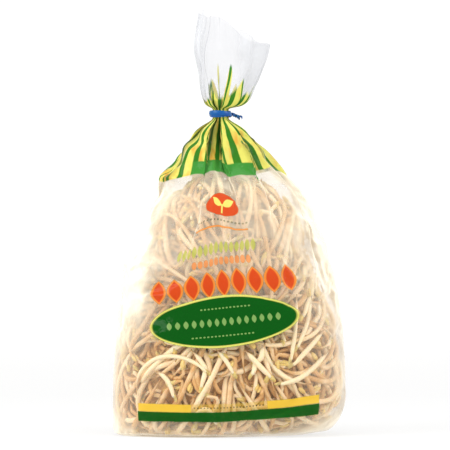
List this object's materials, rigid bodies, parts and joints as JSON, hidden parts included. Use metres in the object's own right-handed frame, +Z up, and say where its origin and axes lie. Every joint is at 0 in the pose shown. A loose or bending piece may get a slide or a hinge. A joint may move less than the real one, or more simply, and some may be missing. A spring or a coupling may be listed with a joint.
{
  "type": "bag of mung bean sprouts",
  "caption": "Clear film bag packed with mung bean sprouts, gathered into a neck and closed by a twist tie, standing on its flat base.",
  "frame": {"origin": "on the ground under the middle of the bag's bounding box", "axes": "+Z up through the tied neck, the printed front faces -Y, +X to the right seen from the front"},
  "size_m": [0.162, 0.094, 0.297],
  "materials": {
    "film": "clear glossy polyethylene film, printed with green and yellow bands",
    "tie": "glossy blue plastic over a thin wire",
    "sprouts": "moist cream-white plant tissue"
  },
  "bodies": {
    "root": {"bag_film": "film", "twist_tie": "tie", "sprout_heap": "sprouts"}
  },
  "joints": []
}
